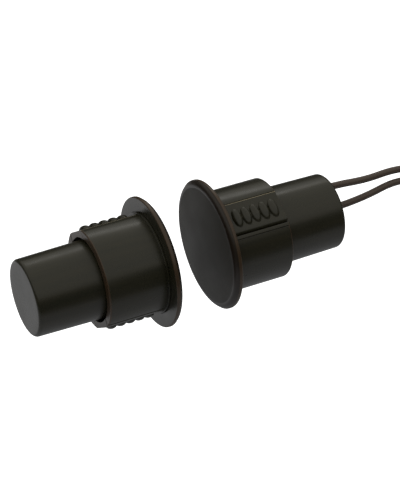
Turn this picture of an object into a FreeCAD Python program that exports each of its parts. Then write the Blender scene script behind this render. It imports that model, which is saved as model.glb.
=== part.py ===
import FreeCAD, Part
import math
import os

import Sketcher
from types import SimpleNamespace

from FreeCAD import Placement, Rotation, Vector

# A recessed magnetic contact for a steel door, in two halves that face each other across the
# door gap: a magnet half in the door and a reed switch half in the frame. Each half is a capsule
# held in a press-in adapter sleeve.
#
# Frame: +X runs along the common axis from the magnet half to the switch half and +Z is up.
# The origin is on that axis, where the switch half's flange seats on the door frame.
# Each half is drawn in a frame of its own, with +Z going from its seating plane into the hole.

# ---------------------------------------------------------------- driving sizes, millimetres

SIZES = {
    "seat_gap": (17.5, "between the two seating planes with the door closed"),
    "flange_radius": (16.4, "capsule flange"),
    "flange_thickness": (0.9, "capsule flange"),
    "cap_inset": (0.15, "how far the face cap's rim stays inside the flange's"),
    "cap_crown": (2.66, "seating plane to the crown of the face cap"),
    "cap_edge_height": (1.87, "seating plane to where the dome meets the rounded edge"),
    "cap_edge_round": (1.6, "rounded edge of the face cap"),
    "cap_wall": (1.8, "thickness of the face cap's dome"),
    "spigot_radius": (7.85, "face cap's spigot, outside"),
    "spigot_wall": (1.35, "face cap's spigot"),
    "spigot_length": (1.8, "how far the spigot reaches past the seating plane"),
    "capsule_radius": (10.05, "capsule, at the seating plane"),
    "capsule_end_radius": (9.55, "capsule, at its closed end"),
    "capsule_length": (32.4, "seating plane to the closed end"),
    "capsule_bore": (7.9, "capsule bore radius"),
    "capsule_end_wall": (1.6, "capsule's closed end"),
    "capsule_end_round": (0.9, "rounded edge of the closed end"),
    "sleeve_radius": (12.7, "adapter sleeve, outside: a 25.4 mm hole"),
    "sleeve_bore": (10.6, "adapter sleeve, inside"),
    "sleeve_length": (15.7, "adapter sleeve"),
    "sleeve_rim_round": (0.3, "adapter sleeve's rear rim"),
    "collar_bore": (10.15, "sleeve's inner collar that grips the capsule"),
    "collar_length": (0.85, "sleeve's inner collar"),
    "recess_depth": (0.25, "shallow recess in the flange's back that takes the sleeve"),
    "recess_radius": (12.8, "shallow recess in the flange's back"),
    "sleeve_nose_radius": (12.5, "sleeve's front edge, inside the recess"),
    "relief_start": (0.55, "relief groove behind the flange, first edge"),
    "relief_width": (0.45, "relief groove behind the flange"),
    "relief_depth": (0.3, "relief groove behind the flange"),
    "tongue_half_width": (4.12, "spring tongue"),
    "tongue_face": (11.97, "axis to the tongue's flat outer face"),
    "tongue_inner": (9.7, "axis plane to the block that the tongue is cut from"),
    "tongue_root": (1.1, "seating plane to the tongue's root"),
    "tongue_slot": (0.35, "open slot between tongue and sleeve, on one side"),
    "tongue_cut": (0.08, "fine cut between tongue and sleeve, on the other side"),
    "tongue_root_gap": (0.2, "slot between tongue and sleeve at the root"),
    "rib_first": (3.5, "seating plane to the first grip rib"),
    "rib_pitch": (2.45, "grip ribs, centre to centre"),
    "rib_count": (5, "grip ribs on a tongue"),
    "rib_half_length": (2.45, "grip rib, round the sleeve"),
    "rib_half_width": (1.2, "grip rib, along the sleeve"),
    "rib_rise": (0.9, "grip rib above the tongue's flat face"),
    "scribe_offset": (5.45, "tongue's middle to the scribe groove beside it"),
    "scribe_half_width": (0.2, "scribe groove"),
    "scribe_floor": (10.6, "axis plane to the scribe groove's floor"),
    "scribe_top": (13.4, "a height clear of the sleeve, for cutting slots and scribe grooves"),
    "lead_spacing": (6.1, "axis to the offset lead's hole"),
    "lead_radius": (0.9, "insulated lead"),
    "lead_hole": (1.0, "lead holes in the capsule's closed end"),
    "core_radius": (0.32, "stripped copper core of a lead"),
    "glass_radius": (1.2, "reed glass, outside"),
    "glass_bore": (0.95, "reed glass, inside"),
    "glass_round": (0.6, "reed glass, rounded end"),
    "glass_start": (5.5, "seating plane to the reed glass"),
    "glass_length": (14.0, "reed glass"),
    "glass_seal": (1.0, "fused glass round each reed lead"),
    "reed_lead_radius": (0.25, "reed lead"),
    "reed_lead_hole": (0.27, "reed lead's hole in glass and solder"),
    "reed_turn": (3.4, "seating plane to where the front reed lead turns back"),
    "blade_half_width": (0.5, "reed blade"),
    "blade_thickness": (0.2, "reed blade"),
    "blade_half_gap": (0.01, "half the gap between the blades, contact made"),
    "blade_overlap": (0.4, "each blade past the middle of the glass"),
    "blade_root_gap": (0.05, "between a blade and its own lead"),
    "return_bore": (0.3, "insulating sleeve of the front reed lead"),
    "return_radius": (0.65, "insulating sleeve of the front reed lead"),
    "return_start": (5.6, "seating plane to the insulating sleeve"),
    "return_length": (14.6, "insulating sleeve of the front reed lead"),
    "solder_radius": (0.7, "soldered joint"),
    "solder_bore": (0.34, "soldered joint's bore"),
    "solder_start": (21.4, "seating plane to the soldered joints"),
    "solder_length": (2.2, "soldered joint"),
    "reed_lead_end": (22.2, "seating plane to the ends of the reed leads"),
    "core_start": (22.4, "seating plane to the stripped ends of the leads"),
    "lead_start": (25.5, "seating plane to the leads' insulation"),
    "cradle_radius": (7.75, "reed cradle"),
    "cradle_start": (2.2, "seating plane to the cradle"),
    "cradle_length": (22.6, "reed cradle"),
    "cradle_slot_half": (1.4, "half the width of the slot that holds the reed"),
    "potting_radius": (7.88, "epoxy plug"),
    "potting_start": (26.3, "seating plane to the epoxy plug"),
    "magnet_radius": (6.35, "bar magnet"),
    "magnet_length": (12.7, "bar magnet"),
    "magnet_start": (2.2, "seating plane to the magnet"),
    "magnet_hole": (6.4, "magnet holder's bore"),
    "holder_radius": (7.75, "magnet holder and spacer"),
    "spacer_length": (15.8, "foam spacer behind the magnet"),
    "coil_bore": (7.4, "coil of put-away leads, inside its turns"),
    "coil_radius": (11.0, "coil of put-away leads, outside its turns"),
    "coil_half_width": (4.75, "coil of put-away leads, along its own axis"),
    "coil_round": (0.9, "coil of put-away leads, rounded by one lead"),
    "tie_gap": (0.1, "tie round the coil's bundle, clear of it"),
    "tie_thickness": (0.6, "tie round the coil's bundle"),
    "tie_width": (2.4, "tie round the coil's bundle"),
}

TONGUE_ROLL = {"switch": 120.0, "magnet": 53.0}   # degrees, from +Y towards +Z
LEAD_ROLL = 75.0                                  # degrees, the offset lead round the axis

# The leads, in the row's frame. Each leaves the capsule's closed end, rises or dips a little,
# bends down under its own weight and joins the hanging coil.
LEAD_ROUTES = {
    "lead_a": [(25.5, 1.58, 5.89), (34.7, 1.58, 5.89), (44.0, 1.35, 4.95), (52.0, 1.75, 5.3),
               (58.5, 1.6, 4.2), (63.5, 1.3, 0.0), (66.2, 0.5, -6.0), (66.8, -0.4, -12.4)],
    "lead_b": [(25.5, 0.0, 0.0), (34.5, 0.0, 0.0), (43.6, -0.25, 1.1), (51.5, 0.1, 2.85),
               (57.6, -0.4, 2.0), (62.2, -0.9, -1.9), (64.7, -1.1, -7.6), (65.0, -1.1, -13.8)],
}
# The last stretch of each lead hangs out of the coil.
TAIL_ROUTES = {
    "lead_a_tail": [(66.9, 6.5, -20.0), (66.8, 6.8, -27.0), (67.3, 7.4, -34.0)],
    "lead_b_tail": [(64.8, 6.5, -20.0), (64.4, 7.0, -25.0), (64.0, 7.9, -30.0)],
}
COIL_CENTRE = Vector(75.0, 2.7, -19.0)
TIP_LENGTH = 5.0


class Size:
    """A length kept as its value now and as the expression that reads it from the sheet."""

    def __init__(self, value, text):
        self.value = value
        self.text = text

    def joined(self, sign, other, value):
        other_text = other.text if isinstance(other, Size) else repr(other)
        return Size(value, f"({self.text} {sign} {other_text})")

    def __add__(self, other):
        return self.joined("+", other, self.value + plain(other))

    def __sub__(self, other):
        return self.joined("-", other, self.value - plain(other))

    def __mul__(self, other):
        return self.joined("*", other, self.value * plain(other))

    def __truediv__(self, other):
        return self.joined("/", other, self.value / plain(other))

    def __neg__(self):
        return Size(-self.value, f"(-{self.text})")


def plain(number):
    return number.value if isinstance(number, Size) else number


os.makedirs("parts", exist_ok=True)
doc = FreeCAD.newDocument("door_contact")
sheet = doc.addObject("Spreadsheet::Sheet", "Sizes")
for row, (alias, (millimetres, note)) in enumerate(SIZES.items(), start=1):
    sheet.set(f"A{row}", note)
    sheet.set(f"B{row}", str(millimetres))
    sheet.setAlias(f"B{row}", alias)
doc.recompute()
mm = SimpleNamespace(**{alias: Size(value, f"Sizes.{alias}") for alias, (value, note) in SIZES.items()})

nodes = []     # every finished sub-part, in the order made


# ---------------------------------------------------------------- placing

def half_frame(half, roll):
    """The placement of one half's own frame, its +Y turned to roll degrees round the axis."""
    side = 1 if half == "switch" else -1
    along = Vector(side, 0, 0)
    outward = Vector(0, math.cos(math.radians(roll)), math.sin(math.radians(roll)))
    across = outward.cross(along)
    seat = Vector(0 if half == "switch" else -mm.seat_gap.value, 0, 0)
    return Placement(seat, Rotation(across, outward, along, "ZYX"))


def finish(part, label, placement):
    """Name a sub-part, place it and keep it for export."""
    part.Label = label
    part.Placement = placement
    if placement.Base.x == -mm.seat_gap.value:
        part.setExpression("Placement.Base.x", "-Sizes.seat_gap")
    nodes.append(part)
    return part


def offset_by(placement, across=0.0, outward=0.0, along=0.0):
    return placement.multiply(Placement(Vector(across, outward, along), Rotation()))


# ---------------------------------------------------------------- sketches and features

def origin_plane(body, role):
    return next(feature for feature in body.Origin.OriginFeatures if feature.Role == role)


def new_sketch(body, role, lift=None):
    """A sketch on one of the body's origin planes, lifted along that plane's normal."""
    sketch = body.newObject("Sketcher::SketchObject", "Sketch")
    sketch.AttachmentSupport = [(origin_plane(body, role), "")]
    sketch.MapMode = "FlatFace"
    if lift is not None:
        sketch.setExpression("AttachmentOffset.Base.z", lift.text)
    return sketch


def hold(sketch, direction, index, place):
    """Hold the start of one edge at a signed distance from the sketch's origin."""
    if plain(place) == 0:
        sketch.addConstraint(Sketcher.Constraint("PointOnObject", index, 1, -2 if direction == "X" else -1))
        return
    kind = "Distance" + direction
    if place.value > 0:
        number = sketch.addConstraint(Sketcher.Constraint(kind, -1, 1, index, 1, place.value))
        sketch.setExpression(f"Constraints[{number}]", place.text)
    else:
        number = sketch.addConstraint(Sketcher.Constraint(kind, index, 1, -1, 1, -place.value))
        sketch.setExpression(f"Constraints[{number}]", (-place).text)


def outline(sketch, corners):
    """A closed outline, counter-clockwise. A corner is (x, y), or (x, y, bend) where a convex arc of
    radius bend leads on to the next corner."""
    first = sketch.GeometryCount
    count = len(corners)
    points = [Vector(plain(corner[0]), plain(corner[1]), 0) for corner in corners]
    for index, corner in enumerate(corners):
        start, end = points[index], points[(index + 1) % count]
        if len(corner) == 2:
            sketch.addGeometry(Part.LineSegment(start, end), False)
            continue
        chord = end - start
        height = math.sqrt(corner[2].value ** 2 - chord.Length ** 2 / 4)
        centre = (start + end) * 0.5 + Vector(-chord.y, chord.x, 0).normalize() * height
        angles = [math.atan2((end_point - centre).y, (end_point - centre).x) for end_point in (start, end)]
        circle = Part.Circle(centre, Vector(0, 0, 1), corner[2].value)
        sketch.addGeometry(Part.ArcOfCircle(circle, angles[0], angles[1]), False)
    for index, corner in enumerate(corners):
        following = first + (index + 1) % count
        sketch.addConstraint(Sketcher.Constraint("Coincident", first + index, 2, following, 1))
        hold(sketch, "X", first + index, corner[0])
        hold(sketch, "Y", first + index, corner[1])
        if len(corner) == 3:
            number = sketch.addConstraint(Sketcher.Constraint("Radius", first + index, corner[2].value))
            sketch.setExpression(f"Constraints[{number}]", corner[2].text)


def rectangle(low_x, low_y, high_x, high_y):
    return [(low_x, low_y), (high_x, low_y), (high_x, high_y), (low_x, high_y)]


def circle_in(sketch, x, y, radius):
    """A full circle held at (x, y)."""
    centre = Vector(plain(x), plain(y), 0)
    index = sketch.addGeometry(Part.Circle(centre, Vector(0, 0, 1), radius.value), False)
    number = sketch.addConstraint(Sketcher.Constraint("Radius", index, radius.value))
    sketch.setExpression(f"Constraints[{number}]", radius.text)
    for direction, place in (("X", x), ("Y", y)):
        if plain(place) == 0:
            axis = -2 if direction == "X" else -1
            sketch.addConstraint(Sketcher.Constraint("PointOnObject", index, 3, axis))
        else:
            kind = "Distance" + direction
            number = sketch.addConstraint(Sketcher.Constraint(kind, -1, 1, index, 3, place.value))
            sketch.setExpression(f"Constraints[{number}]", place.text)


def new_body(name):
    return doc.addObject("PartDesign::Body", name)


def lathe(name, corners):
    """A body turned round its own Z from an outline of (radius, height) corners."""
    body = new_body(name)
    sketch = new_sketch(body, "XZ_Plane")
    outline(sketch, corners)
    turned = body.newObject("PartDesign::Revolution", "Turned")
    turned.Profile = sketch
    turned.ReferenceAxis = (sketch, ["V_Axis"])
    doc.recompute()
    return body


def pad(body, corners, lift, length):
    """Raise an outline in the body's XY plane from lift, along +Z."""
    sketch = new_sketch(body, "XY_Plane", lift)
    outline(sketch, corners)
    raised = body.newObject("PartDesign::Pad", "Raised")
    raised.Profile = sketch
    raised.setExpression("Length", length.text)
    doc.recompute()
    return raised


def cut_through(body, sketch, name):
    """Cut a sketch both ways through the body, and make sure that it takes something away."""
    before = body.Shape.Volume
    pocket = body.newObject("PartDesign::Pocket", name)
    pocket.Profile = sketch
    pocket.Type = 1       # through all
    pocket.Midplane = True
    doc.recompute()
    if body.Shape.Volume >= before:
        raise RuntimeError(f"{name} takes nothing away from {body.Name}")


def cut_upwards(body, sketch, name):
    """Cut a sketch from its own plane along +Z, right through the body."""
    pocket = body.newObject("PartDesign::Pocket", name)
    pocket.Profile = sketch
    pocket.Type = 1       # through all
    pocket.Reversed = True
    doc.recompute()


def round_circles(body, radius, circle_radius, height):
    """Round the body's circular edges of one radius at one height."""
    names = []
    for number, edge in enumerate(body.Tip.Shape.Edges, start=1):
        curve = edge.Curve
        if isinstance(curve, Part.Circle) and abs(curve.Radius - circle_radius.value) < 0.01:
            if abs(curve.Center.z - height.value) < 0.01:
                names.append(f"Edge{number}")
    if not names:
        raise RuntimeError(f"no edge to round on {body.Name}")
    base = body.Tip
    rounded = body.newObject("PartDesign::Fillet", "Rounded")
    rounded.Base = (base, names)
    rounded.setExpression("Radius", radius.text)
    doc.recompute()


# ---------------------------------------------------------------- pieces that both halves have

def make_face_cap(half):
    """Domed cap that closes the capsule's mouth with a spigot."""
    rim = mm.flange_radius - mm.cap_inset
    dome_edge = rim - mm.cap_edge_round
    sag = mm.cap_crown - mm.cap_edge_height
    dome_bend = (dome_edge * dome_edge + sag * sag) / (sag * 2)
    spigot_bore = mm.spigot_radius - mm.spigot_wall
    body = lathe(half + "_face_cap", [
        (0, -mm.cap_crown, dome_bend),
        (dome_edge, -mm.cap_edge_height, mm.cap_edge_round),
        (rim, -mm.flange_thickness),
        (mm.spigot_radius, -mm.flange_thickness),
        (mm.spigot_radius, mm.spigot_length),
        (spigot_bore, mm.spigot_length),
        (spigot_bore, mm.cap_wall - mm.cap_crown),
        (0, mm.cap_wall - mm.cap_crown),
    ])
    return finish(body, half + "_face_cap", half_frame(half, LEAD_ROLL))


def make_capsule(half):
    """Tapered cup with a thin flange, recessed for the sleeve; the switch's has two lead holes."""
    floor = mm.capsule_length - mm.capsule_end_wall
    body = lathe(half + "_capsule", [
        (mm.capsule_bore, -mm.flange_thickness),
        (mm.flange_radius, -mm.flange_thickness),
        (mm.flange_radius, 0),
        (mm.recess_radius, 0),
        (mm.recess_radius, -mm.recess_depth),
        (mm.capsule_radius, -mm.recess_depth),
        (mm.capsule_end_radius, mm.capsule_length),
        (0, mm.capsule_length),
        (0, floor),
        (mm.capsule_bore, floor),
    ])
    round_circles(body, mm.capsule_end_round, mm.capsule_end_radius, mm.capsule_length)
    if half == "switch":
        sketch = new_sketch(body, "XY_Plane")
        circle_in(sketch, 0, 0, mm.lead_hole)
        circle_in(sketch, 0, mm.lead_spacing, mm.lead_hole)
        cut_through(body, sketch, "LeadHoles")
    return finish(body, half + "_capsule", half_frame(half, LEAD_ROLL))


def make_sleeve(half):
    """Adapter sleeve: a thin tube with an inner collar at its front, slots for two tongues, a
    relief groove behind the flange and a scribe groove beside each tongue."""
    body = lathe(half + "_sleeve", [
        (mm.collar_bore, -mm.recess_depth),
        (mm.sleeve_nose_radius, -mm.recess_depth),
        (mm.sleeve_nose_radius, 0),
        (mm.sleeve_radius, 0),
        (mm.sleeve_radius, mm.sleeve_length),
        (mm.sleeve_bore, mm.sleeve_length),
        (mm.sleeve_bore, mm.collar_length),
        (mm.collar_bore, mm.collar_length),
    ])
    round_circles(body, mm.sleeve_rim_round, mm.sleeve_radius, mm.sleeve_length)
    relief = new_sketch(body, "XZ_Plane")
    relief_floor, relief_end = mm.sleeve_radius - mm.relief_depth, mm.relief_start + mm.relief_width
    outline(relief, rectangle(relief_floor, mm.relief_start, mm.flange_radius, relief_end))
    groove = body.newObject("PartDesign::Groove", "Relief")
    groove.Profile = relief
    groove.ReferenceAxis = (relief, ["V_Axis"])
    slots = new_sketch(body, "XY_Plane", mm.tongue_root - mm.tongue_root_gap)
    open_side, fine_side = mm.tongue_half_width + mm.tongue_slot, mm.tongue_half_width + mm.tongue_cut
    outline(slots, rectangle(-open_side, mm.tongue_inner, fine_side, mm.scribe_top))
    outline(slots, rectangle(-fine_side, -mm.scribe_top, open_side, -mm.tongue_inner))
    cut_upwards(body, slots, "TongueSlots")
    scribes = new_sketch(body, "XY_Plane")
    near, far = mm.scribe_offset - mm.scribe_half_width, mm.scribe_offset + mm.scribe_half_width
    outline(scribes, rectangle(-far, mm.scribe_floor, -near, mm.scribe_top))
    outline(scribes, rectangle(near, -mm.scribe_top, far, -mm.scribe_floor))
    cut_through(body, scribes, "ScribeGrooves")
    return finish(body, half + "_sleeve", half_frame(half, TONGUE_ROLL[half]))


def make_tongue(half, name, roll):
    """Spring tongue with a flat face and grip ribs, hinged to the sleeve at its front end. Its
    underside follows the sleeve's bore."""
    body = new_body(f"{half}_{name}")
    block = rectangle(-mm.tongue_half_width, mm.tongue_inner, mm.tongue_half_width, mm.tongue_face)
    pad(body, block, mm.tongue_root, mm.sleeve_length - mm.tongue_root)
    bore = new_sketch(body, "XY_Plane")
    circle_in(bore, 0, 0, mm.sleeve_bore)
    cut_through(body, bore, "Underside")
    rib = body.newObject("PartDesign::AdditiveEllipsoid", "Rib")
    rib.AttachmentSupport = [(origin_plane(body, "XY_Plane"), "")]
    rib.MapMode = "FlatFace"
    for setting, size in (("AttachmentOffset.Base.y", mm.tongue_face),
                          ("AttachmentOffset.Base.z", mm.rib_first),
                          ("Radius1", mm.rib_half_width), ("Radius2", mm.rib_half_length),
                          ("Radius3", mm.rib_rise)):
        rib.setExpression(setting, size.text)
    doc.recompute()
    row = body.newObject("PartDesign::LinearPattern", "RibRow")
    row.Originals = [rib]
    row.Direction = (origin_plane(body, "XY_Plane"), [""])
    row.setExpression("Length", (mm.rib_pitch * (mm.rib_count - 1)).text)
    row.setExpression("Occurrences", mm.rib_count.text)
    body.Tip = row
    doc.recompute()
    return finish(body, f"{half}_{name}", half_frame(half, roll))


# ---------------------------------------------------------------- inside the switch half

def make_reed(frame):
    """Reed glass on the axis, with a fused seal round each lead and two overlapping blades."""
    start, end = mm.glass_start, mm.glass_start + mm.glass_length
    shoulder = mm.glass_radius - mm.glass_round
    glass = lathe("reed_glass", [
        (mm.reed_lead_hole, start),
        (shoulder, start, mm.glass_round),
        (mm.glass_radius, start + mm.glass_round),
        (mm.glass_radius, end - mm.glass_round, mm.glass_round),
        (shoulder, end),
        (mm.reed_lead_hole, end),
        (mm.reed_lead_hole, end - mm.glass_seal),
        (mm.glass_bore, end - mm.glass_seal),
        (mm.glass_bore, start + mm.glass_seal),
        (mm.reed_lead_hole, start + mm.glass_seal),
    ])
    finish(glass, "reed_glass", frame)
    reach = mm.glass_length / 2 - mm.glass_seal + mm.blade_overlap - mm.blade_root_gap
    front_root = start + mm.glass_seal + mm.blade_root_gap
    rear_tip = mm.glass_start + mm.glass_length / 2 - mm.blade_overlap
    far_face = mm.blade_half_gap + mm.blade_thickness
    wide = mm.blade_half_width
    for name, lift, low, high in (("reed_blade_front", front_root, mm.blade_half_gap, far_face),
                                  ("reed_blade_rear", rear_tip, -far_face, -mm.blade_half_gap)):
        blade = new_body(name)
        pad(blade, rectangle(-wide, low, wide, high), lift, reach)
        finish(blade, name, frame)


def make_round(name, radius, start, length, frame, outward=0.0):
    """A plain rod along the half's own axis."""
    rod = doc.addObject("Part::Cylinder", name)
    rod.setExpression("Radius", radius.text)
    rod.setExpression("Height", length.text)
    return finish(rod, name, offset_by(frame, outward=outward, along=start.value))


def make_ring(name, bore, radius, start, length, frame, outward=0.0):
    """A plain tube along the half's own axis."""
    ring = lathe(name, [(bore, start), (radius, start), (radius, start + length), (bore, start + length)])
    return finish(ring, name, offset_by(frame, outward=outward))


def make_cradle(frame):
    """Moulded cradle with a slot from the reed out to the return lead."""
    cradle = lathe("reed_cradle", [
        (0, mm.cradle_start),
        (mm.cradle_radius, mm.cradle_start),
        (mm.cradle_radius, mm.cradle_start + mm.cradle_length),
        (0, mm.cradle_start + mm.cradle_length),
    ])
    slot = new_sketch(cradle, "XY_Plane")
    half = mm.cradle_slot_half
    outline(slot, rectangle(-half, -half, half, mm.capsule_radius))
    cut_through(cradle, slot, "ReedSlot")
    finish(cradle, "reed_cradle", frame)


def make_potting(frame):
    """Epoxy plug behind the cradle, round both leads."""
    end = mm.capsule_length - mm.capsule_end_wall
    potting = lathe("rear_potting", [
        (0, mm.potting_start),
        (mm.potting_radius, mm.potting_start),
        (mm.potting_radius, end),
        (0, end),
    ])
    holes = new_sketch(potting, "XY_Plane")
    circle_in(holes, 0, 0, mm.lead_radius)
    circle_in(holes, 0, mm.lead_spacing, mm.lead_radius)
    cut_through(potting, holes, "LeadHoles")
    finish(potting, "rear_potting", frame)


# ---------------------------------------------------------------- wires and leads

def tangent_path(route):
    """Straight runs joined by tangent arcs, each arc as large as its two runs allow."""
    arc_share = 0.45
    edges, radii = [], []
    start = route[0]
    for before, corner, after in zip(route, route[1:], route[2:]):
        going_in, going_out = corner - before, after - corner
        reach = arc_share * min(going_in.Length, going_out.Length)
        half_turn = going_in.getAngle(going_out) / 2
        radius = reach / math.tan(half_turn)
        going_in.normalize()
        going_out.normalize()
        first, last = corner - going_in * reach, corner + going_out * reach
        inward = (going_out - going_in).normalize()
        middle = corner + inward * (radius / math.cos(half_turn) - radius)
        edges.append(Part.LineSegment(start, first).toShape())
        edges.append(Part.Arc(first, middle, last).toShape())
        radii.append(radius)
        start = last
    edges.append(Part.LineSegment(start, route[-1]).toShape())
    return Part.Wire(edges), radii


def make_wire(name, route, radius, placement=None):
    """A round wire swept along a route; prints its length and its tightest bend."""
    points = [Vector(*point) for point in route]
    path, radii = tangent_path(points)
    section = Part.Wire(Part.Circle(points[0], points[1] - points[0], radius.value).toShape())
    solid = path.makePipeShell([section], True, True)
    expected = math.pi * radius.value ** 2 * path.Length
    print(f"{name}: {path.Length:.1f} mm long, radii {[round(bend, 1) for bend in radii]}, "
          f"volume {solid.Volume / expected:.3f} of section times length")
    wire = doc.addObject("Part::Feature", name)
    wire.Shape = solid
    finish(wire, name, placement or Placement())
    return path


def make_reed_leads(frame):
    """The front lead turns back past the glass to the offset joint; the rear one goes straight."""
    offset, turn = mm.lead_spacing.value, mm.reed_turn.value
    front_end = (mm.glass_start + mm.glass_seal).value
    rear_start = (mm.glass_start + mm.glass_length - mm.glass_seal).value
    end = mm.reed_lead_end.value
    make_wire("reed_lead_front", [(0, 0, front_end), (0, 0, turn), (0, offset, turn), (0, offset, end)],
              mm.reed_lead_radius, frame)
    make_round("reed_lead_rear", mm.reed_lead_radius, Size(rear_start, repr(rear_start)),
               mm.reed_lead_end - mm.glass_start - mm.glass_length + mm.glass_seal, frame)


def make_leads(frame):
    """Both insulated leads, their stripped ends, the coil of put-away lead and its tie."""
    for name, outward in (("lead_a", mm.lead_spacing.value), ("lead_b", 0.0)):
        make_round(name + "_core", mm.core_radius, mm.core_start, mm.lead_start - mm.core_start,
                   frame, outward)
        make_wire(name, LEAD_ROUTES[name], mm.lead_radius)
        tail = name + "_tail"
        path = make_wire(tail, TAIL_ROUTES[tail], mm.lead_radius)
        last, before = Vector(*TAIL_ROUTES[tail][-1]), Vector(*TAIL_ROUTES[tail][-2])
        tip = doc.addObject("Part::Cylinder", name + "_tip")
        tip.setExpression("Radius", mm.core_radius.text)
        tip.Height = TIP_LENGTH
        finish(tip, name + "_tip", Placement(last, Rotation(Vector(0, 0, 1), last - before)))
    make_coil()
    make_tie()


def make_coil():
    """The outer shape of both leads' turns: a short drum with its axis along Y."""
    bend, inside, outside = mm.coil_round, mm.coil_bore, mm.coil_radius
    low, high = -mm.coil_half_width, mm.coil_half_width
    coil = lathe("lead_coil", [
        (inside + bend, low),
        (outside - bend, low, bend),
        (outside, low + bend),
        (outside, high - bend, bend),
        (outside - bend, high),
        (inside + bend, high, bend),
        (inside, high - bend),
        (inside, low + bend, bend),
    ])
    finish(coil, "lead_coil", Placement(COIL_CENTRE, Rotation(Vector(1, 0, 0), -90)))


def make_tie():
    """A flat band round the coil's bundle at its lowest point."""
    blocks = []
    for name, grow in (("TieOutside", mm.tie_gap + mm.tie_thickness), ("TieInside", mm.tie_gap)):
        block = doc.addObject("Part::Box", name)
        block.setExpression("Length", mm.tie_width.text)
        block.setExpression("Width", ((mm.coil_half_width + grow) * 2).text)
        block.setExpression("Height", (mm.coil_radius - mm.coil_bore + grow * 2).text)
        block.Placement.Base = Vector(0, -(mm.coil_half_width + grow).value, -grow.value)
        blocks.append(block)
    tie = doc.addObject("Part::Cut", "lead_tie")
    tie.Base, tie.Tool = blocks
    corner = Vector(-mm.tie_width.value / 2, 0, -mm.coil_radius.value)
    finish(tie, "lead_tie", Placement(COIL_CENTRE + corner, Rotation()))


# ---------------------------------------------------------------- the two halves

for half_name in ("switch", "magnet"):
    make_face_cap(half_name)
    make_capsule(half_name)
    make_sleeve(half_name)
    make_tongue(half_name, "tongue_upper", TONGUE_ROLL[half_name])
    make_tongue(half_name, "tongue_lower", TONGUE_ROLL[half_name] + 180)

reed_frame = half_frame("switch", LEAD_ROLL)
make_reed(reed_frame)
make_reed_leads(reed_frame)
make_ring("return_lead_sleeve", mm.return_bore, mm.return_radius, mm.return_start, mm.return_length,
          reed_frame, mm.lead_spacing.value)
for joint_name, joint_offset in (("solder_joint_front", mm.lead_spacing.value), ("solder_joint_rear", 0.0)):
    make_ring(joint_name, mm.solder_bore, mm.solder_radius, mm.solder_start, mm.solder_length,
              reed_frame, joint_offset)
make_cradle(reed_frame)
make_potting(reed_frame)
make_leads(reed_frame)

magnet_frame = half_frame("magnet", LEAD_ROLL)
make_round("magnet", mm.magnet_radius, mm.magnet_start, mm.magnet_length, magnet_frame)
make_ring("magnet_holder", mm.magnet_hole, mm.holder_radius, mm.magnet_start, mm.magnet_length,
          magnet_frame)
make_round("magnet_spacer", mm.holder_radius, mm.magnet_start + mm.magnet_length, mm.spacer_length,
           magnet_frame)

# ---------------------------------------------------------------- checking and writing

doc.recompute()
faults = [f"{thing.Name}: {', '.join(thing.State)}" for thing in doc.Objects
          if "Invalid" in thing.State or "Error" in thing.State]
for node in nodes:
    if node.Shape.isNull() or not node.Shape.isValid() or not node.Shape.Solids:
        faults.append(f"{node.Label}: bad shape")
if faults:
    raise RuntimeError("; ".join(faults))
for node in nodes:
    node.Shape.exportStep(os.path.join("parts", node.Label + ".step"))
box = Part.makeCompound([node.Shape for node in nodes]).BoundBox
print(f"{len(nodes)} nodes, {box.XLength:.1f} x {box.YLength:.1f} x {box.ZLength:.1f} mm")
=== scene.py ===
# %% [markdown]
# # A recessed magnetic contact for a steel door
#
# Two halves face each other across the gap of a closed door. The half in the door holds a bar
# magnet, and the half in the frame holds a reed switch with two insulated leads. Each half is a
# moulded capsule with a wide flange and a domed face cap, pressed into an adapter sleeve whose two
# ribbed spring tongues grip a 25.4 mm hole. This notebook builds what the eye sees of them, round
# the fixed CAD parts, in metres.

import math

import bmesh
import bpy
from mathutils import Matrix, Quaternion, Vector


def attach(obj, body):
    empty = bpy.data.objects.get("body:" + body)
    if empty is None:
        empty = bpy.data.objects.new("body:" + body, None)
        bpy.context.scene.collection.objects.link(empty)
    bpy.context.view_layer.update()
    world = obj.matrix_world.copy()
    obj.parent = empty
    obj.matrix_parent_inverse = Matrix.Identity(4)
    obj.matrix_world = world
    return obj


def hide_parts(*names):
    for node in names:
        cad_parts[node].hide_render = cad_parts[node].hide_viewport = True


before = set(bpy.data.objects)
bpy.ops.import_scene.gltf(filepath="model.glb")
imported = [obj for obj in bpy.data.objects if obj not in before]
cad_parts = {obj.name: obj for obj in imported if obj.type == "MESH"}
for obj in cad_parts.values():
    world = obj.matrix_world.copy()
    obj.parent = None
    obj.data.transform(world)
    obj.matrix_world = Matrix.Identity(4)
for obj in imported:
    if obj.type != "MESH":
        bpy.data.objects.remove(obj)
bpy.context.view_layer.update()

# %% [markdown]
# ## The camera
#
# A long lens from about half a metre keeps both halves nearly parallel in perspective, as a
# catalogue picture does. The camera stands to the left of the front and looks down at 36 degrees.
# It is placed by its angles round a target point, so that each number has a plain meaning.

# %% Camera
AZIMUTH, ELEVATION, CAMERA_ROLL = math.radians(-26.05), math.radians(36.29), math.radians(-0.165)
CAMERA_DISTANCE = 0.462
CAMERA_TARGET = Vector((-0.00867, 0.0, 0.0))

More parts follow.
